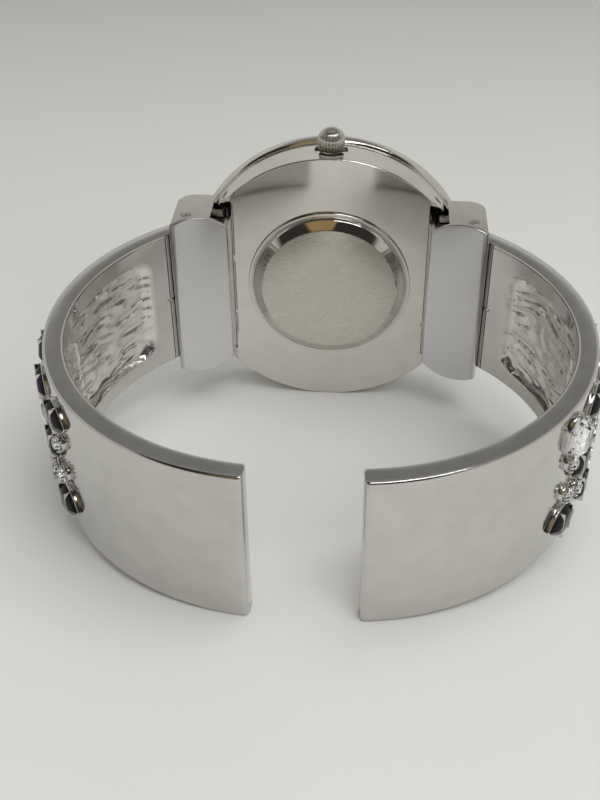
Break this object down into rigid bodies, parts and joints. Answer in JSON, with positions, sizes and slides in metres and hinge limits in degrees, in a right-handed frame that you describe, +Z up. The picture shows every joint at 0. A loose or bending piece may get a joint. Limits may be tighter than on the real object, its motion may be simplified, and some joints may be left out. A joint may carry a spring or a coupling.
{
  "type": "hinged cuff watch",
  "caption": "Rigid cuff watch: a round head on sprung hinges between two curved arms with hollow insides and raised enamel and crystal ornament, open at the wrist side.",
  "frame": {"origin": "middle of the footprint, on the surface that the watch lies on", "axes": "+Z up; the watch lies on the nine o'clock side of its bezel and on the ends of its arms; +X to twelve o'clock across the cuff; +Y from the open mouth of the cuff to the watch head"},
  "size_m": [0.0656, 0.0626, 0.0399],
  "materials": {
    "polished_metal": "polished rhodium plate",
    "cast_metal": "plated casting, polished rims and a wrinkled cast hollow",
    "brushed_back": "circular brushed steel",
    "dial_face": "satin lacquer",
    "hands_metal": "polished",
    "brass_train": "fine brushed",
    "plate_metal": "matte",
    "steel_parts": "ground",
    "spring_steel": "tempered",
    "seal_rubber": "matte",
    "holder_plastic": "moulded",
    "coil_copper": "enamelled copper wire",
    "board": "circuit board",
    "watch_glass": "clear polished",
    "black_enamel": "glossy black enamel",
    "crystal_clear": "faceted clear crystal"
  },
  "bodies": {
    "case": {"case_middle": "polished_metal", "bezel": "polished_metal", "crystal_glass": "watch_glass", "crystal_gasket": "seal_rubber", "chapter_ring": "hands_metal", "dial": "dial_face", "hour_markers": "hands_metal", "case_back": "brushed_back", "case_back_gasket": "seal_rubber", "movement_holder": "holder_plastic", "main_plate": "plate_metal", "train_bridge": "plate_metal", "movement_screws": "steel_parts", "battery": "steel_parts", "battery_clamp": "steel_parts", "coil": "coil_copper", "coil_core": "steel_parts", "stator": "steel_parts", "circuit_board": "board", "quartz_can": "steel_parts", "yoke": "steel_parts", "crown_tube": "steel_parts", "left_hinge_block": "polished_metal", "left_block_cover": "polished_metal", "left_hinge_pin": "steel_parts", "left_case_pin": "steel_parts", "left_hinge_spring": "spring_steel", "right_hinge_block": "polished_metal", "right_block_cover": "polished_metal", "right_hinge_pin": "steel_parts", "right_case_pin": "steel_parts", "right_hinge_spring": "spring_steel"},
    "left_arm": {"left_arm": "cast_metal", "left_ornament_frame": "polished_metal", "left_enamel": "black_enamel", "left_crystals": "crystal_clear"},
    "right_arm": {"right_arm": "cast_metal", "right_ornament_frame": "polished_metal", "right_enamel": "black_enamel", "right_crystals": "crystal_clear", "right_oval_crystal": "crystal_clear"},
    "clutch": {"sliding_pinion": "steel_parts"},
    "winding_stem": {"stem": "steel_parts", "crown": "polished_metal", "crown_gasket": "seal_rubber"},
    "setting_lever": {"setting_lever": "steel_parts"},
    "seconds": {"seconds_wheel": "brass_train", "second_hand": "hands_metal"},
    "minutes": {"centre_wheel": "brass_train", "minute_hand": "hands_metal"},
    "hours": {"hour_wheel": "brass_train", "hour_hand": "hands_metal"},
    "minute_wheel": {"minute_wheel": "brass_train"},
    "third_wheel": {"third_wheel": "brass_train"},
    "step_wheel": {"step_wheel": "brass_train"},
    "rotor": {"rotor": "steel_parts"}
  },
  "joints": [
    {"name": "right_arm_open", "type": "hinge", "parent": "case", "child": "right_arm", "pos_m": [0.0187, 0.01935, 0.01792], "axis": [0, -0.1677, 0.9858], "range_deg": [0, 25], "stiffness_Nm_per_rad": 0.25, "springref_deg": -8.59},
    {"name": "left_arm_open", "type": "hinge", "parent": "case", "child": "left_arm", "pos_m": [-0.0187, 0.01935, 0.01792], "axis": [0, 0.1677, -0.9858], "range_deg": [0, 25], "stiffness_Nm_per_rad": 0.25, "springref_deg": -8.59},
    {"name": "crown_turn", "type": "hinge", "parent": "case", "child": "clutch", "pos_m": [0, 0.02336, 0.02261], "axis": [0, -0.1677, 0.9858], "continuous": true},
    {"name": "crown_pull", "type": "slide", "parent": "clutch", "child": "winding_stem", "axis": [0, -0.1677, 0.9858], "range_m": [0, 0.001]},
    {"name": "lever_swing", "type": "hinge", "parent": "case", "child": "setting_lever", "pos_m": [-0.0024, 0.0224, 0.02463], "axis": [0, -0.9858, -0.1677], "range_deg": [0, 24]},
    {"name": "seconds_turn", "type": "hinge", "parent": "case", "child": "seconds", "pos_m": [0, 0.02402, 0.01872], "axis": [0, -0.9858, -0.1677], "continuous": true},
    {"name": "minutes_turn", "type": "hinge", "parent": "case", "child": "minutes", "pos_m": [0, 0.02402, 0.01872], "axis": [0, -0.9858, -0.1677], "continuous": true},
    {"name": "hours_turn", "type": "hinge", "parent": "case", "child": "hours", "pos_m": [0, 0.02402, 0.01872], "axis": [0, -0.9858, -0.1677], "continuous": true},
    {"name": "minute_wheel_turn", "type": "hinge", "parent": "case", "child": "minute_wheel", "pos_m": [0.00248, 0.02417, 0.01783], "axis": [0, -0.9858, -0.1677], "continuous": true},
    {"name": "third_wheel_turn", "type": "hinge", "parent": "case", "child": "third_wheel", "pos_m": [-0.00236, 0.02379, 0.02006], "axis": [0, -0.9858, -0.1677], "continuous": true},
    {"name": "step_wheel_turn", "type": "hinge", "parent": "case", "child": "step_wheel", "pos_m": [0.00132, 0.0244, 0.01646], "axis": [0, -0.9858, -0.1677], "continuous": true},
    {"name": "rotor_turn", "type": "hinge", "parent": "case", "child": "rotor", "pos_m": [0.00049, 0.0247, 0.01471], "axis": [0, -0.9858, -0.1677], "continuous": true}
  ],
  "couplings": [
    {"joint": "lever_swing", "follows": "crown_pull", "rad_per_m": 410.79},
    {"joint": "minutes_turn", "follows": "seconds_turn", "ratio": 0.016667},
    {"joint": "hours_turn", "follows": "seconds_turn", "ratio": 0.0013889},
    {"joint": "minute_wheel_turn", "follows": "seconds_turn", "ratio": -0.0055556},
    {"joint": "third_wheel_turn", "follows": "seconds_turn", "ratio": -0.13333},
    {"joint": "step_wheel_turn", "follows": "seconds_turn", "ratio": -5},
    {"joint": "rotor_turn", "follows": "seconds_turn", "ratio": 30}
  ]
}
